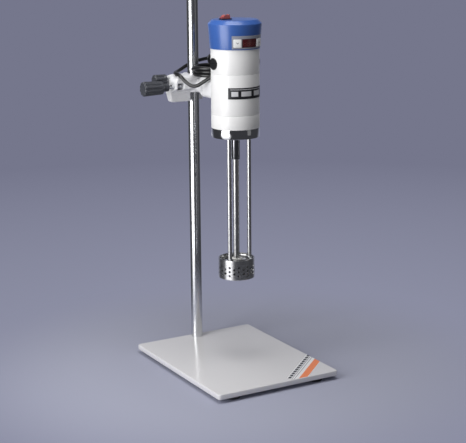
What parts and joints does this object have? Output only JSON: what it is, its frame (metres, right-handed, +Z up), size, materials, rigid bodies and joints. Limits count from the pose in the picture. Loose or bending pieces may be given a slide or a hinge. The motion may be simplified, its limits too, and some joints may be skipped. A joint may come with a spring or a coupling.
{
  "type": "rotor stator homogenizer",
  "caption": "Bench homogenizer: motor with digital speed control and a perforated stator head on three rods, clamped to a column on a plate stand.",
  "frame": {"origin": "on the bench, under the middle of the base plate", "axes": "+Z up, -Y is the front that the control face looks to, +X is to the right seen from the front; the column stands at the back"},
  "size_m": [0.262, 0.3535, 0.823],
  "materials": {
    "plate_enamel": "gloss light warm grey stove enamel",
    "foot_rubber": "matt black rubber",
    "zinc_screw": "zinc plated",
    "column_chrome": "mirror chrome plate on round steel bar",
    "black_plastic": "moulded black plastic",
    "arm_enamel": "white enamel on casting",
    "knob_grey": "dark grey moulded plastic",
    "bright_steel": "ground shaft",
    "housing_white": "white gloss enamel on die casting",
    "polished_steel": "polished stainless steel",
    "cap_blue": "gloss blue moulded plastic",
    "panel_grey": "satin grey foil",
    "window_red": "dark red glossy window",
    "board_green": "circuit board",
    "key_white": "white moulded key",
    "rocker_red": "orange red gloss rocker",
    "plate_black": "black and silver plate, bare",
    "brush_cap_black": "black phenolic",
    "brass": "brass tube",
    "carbon": "carbon",
    "lamination": "stacked laminations",
    "copper": "copper bars",
    "stainless": "satin stainless steel",
    "ptfe": "white bearing plastic",
    "cord_black": "soft black sheath"
  },
  "bodies": {
    "stand_base": {"base_plate": "plate_enamel", "rubber_feet": "foot_rubber", "foot_screws": "zinc_screw"},
    "stand_column": {"column": "column_chrome", "column_bolt": "zinc_screw", "column_cap": "black_plastic"},
    "clamp": {"boss_head": "arm_enamel", "mains_cord": "cord_black", "cord_coil": "cord_black", "cord_tie": "black_plastic", "cord_tail": "cord_black", "mains_plug": "cord_black"},
    "column_grip": {"column_knob": "knob_grey", "column_screw": "bright_steel"},
    "arm_grip": {"arm_knob": "knob_grey", "arm_screw": "bright_steel"},
    "motor_unit": {"arm_rod": "bright_steel", "motor_arm": "arm_enamel", "arm_bolts": "zinc_screw", "lower_housing": "housing_white", "middle_housing": "housing_white", "upper_housing": "housing_white", "flange_ring": "polished_steel", "control_cap": "cap_blue", "control_panel": "panel_grey", "display_window": "window_red", "control_board": "board_green", "switch_frame": "black_plastic", "nameplate": "plate_black", "brush_caps": "brush_cap_black", "brush_holders": "brass", "carbon_brushes": "carbon", "field_core": "lamination", "field_coils": "copper", "upper_bearing": "bright_steel", "lower_bearing": "bright_steel", "support_rods": "stainless", "rod_nuts": "polished_steel", "stator_screen": "polished_steel", "stator_spider": "stainless", "shaft_bush": "ptfe", "strain_relief": "cord_black"},
    "spindle": {"motor_shaft": "bright_steel", "armature_core": "lamination", "armature_windings": "copper", "commutator": "copper", "cooling_fan": "black_plastic", "shaft_coupling": "stainless", "drive_shaft": "stainless", "rotor_head": "stainless", "rotor_screw": "zinc_screw"},
    "power_rocker": {"switch_rocker": "rocker_red"},
    "up_key": {"up_button": "key_white"},
    "down_key": {"down_button": "key_white"}
  },
  "joints": [
    {"name": "column_swivel", "type": "hinge", "parent": "stand_base", "child": "stand_column", "pos_m": [0, 0.1575, 0.018], "axis": [0, 0, 1], "range_deg": [-60, 60]},
    {"name": "clamp_lift", "type": "slide", "parent": "stand_column", "child": "clamp", "axis": [0, 0, 1], "range_m": [-0.14, 0.2]},
    {"name": "column_knob_turn", "type": "hinge", "parent": "clamp", "child": "column_grip", "pos_m": [-0.062, 0.1575, 0.5565], "axis": [-1, 0, 0], "range_deg": [0, 360]},
    {"name": "arm_knob_turn", "type": "hinge", "parent": "clamp", "child": "arm_grip", "pos_m": [-0.076, 0.132, 0.5455], "axis": [-1, 0, 0], "range_deg": [0, 360]},
    {"name": "arm_roll", "type": "hinge", "parent": "clamp", "child": "motor_unit", "pos_m": [0, 0.125, 0.5455], "axis": [0, 1, 0], "range_deg": [-30, 30]},
    {"name": "spindle_spin", "type": "hinge", "parent": "motor_unit", "child": "spindle", "pos_m": [0, -0.0105, 0.3], "axis": [0, 0, 1], "continuous": true},
    {"name": "power_rocker_tilt", "type": "hinge", "parent": "motor_unit", "child": "power_rocker", "pos_m": [-0.02, -0.0105, 0.6848], "axis": [0, 1, 0], "range_deg": [0, 30]},
    {"name": "up_key_press", "type": "slide", "parent": "motor_unit", "child": "up_key", "axis": [-0.5635, 0.8261, 0], "range_m": [0, 0.001], "stiffness_N_per_m": 500, "springref_m": -0.001},
    {"name": "down_key_press", "type": "slide", "parent": "motor_unit", "child": "down_key", "axis": [0.4115, 0.9114, 0], "range_m": [0, 0.001], "stiffness_N_per_m": 500, "springref_m": -0.001}
  ]
}
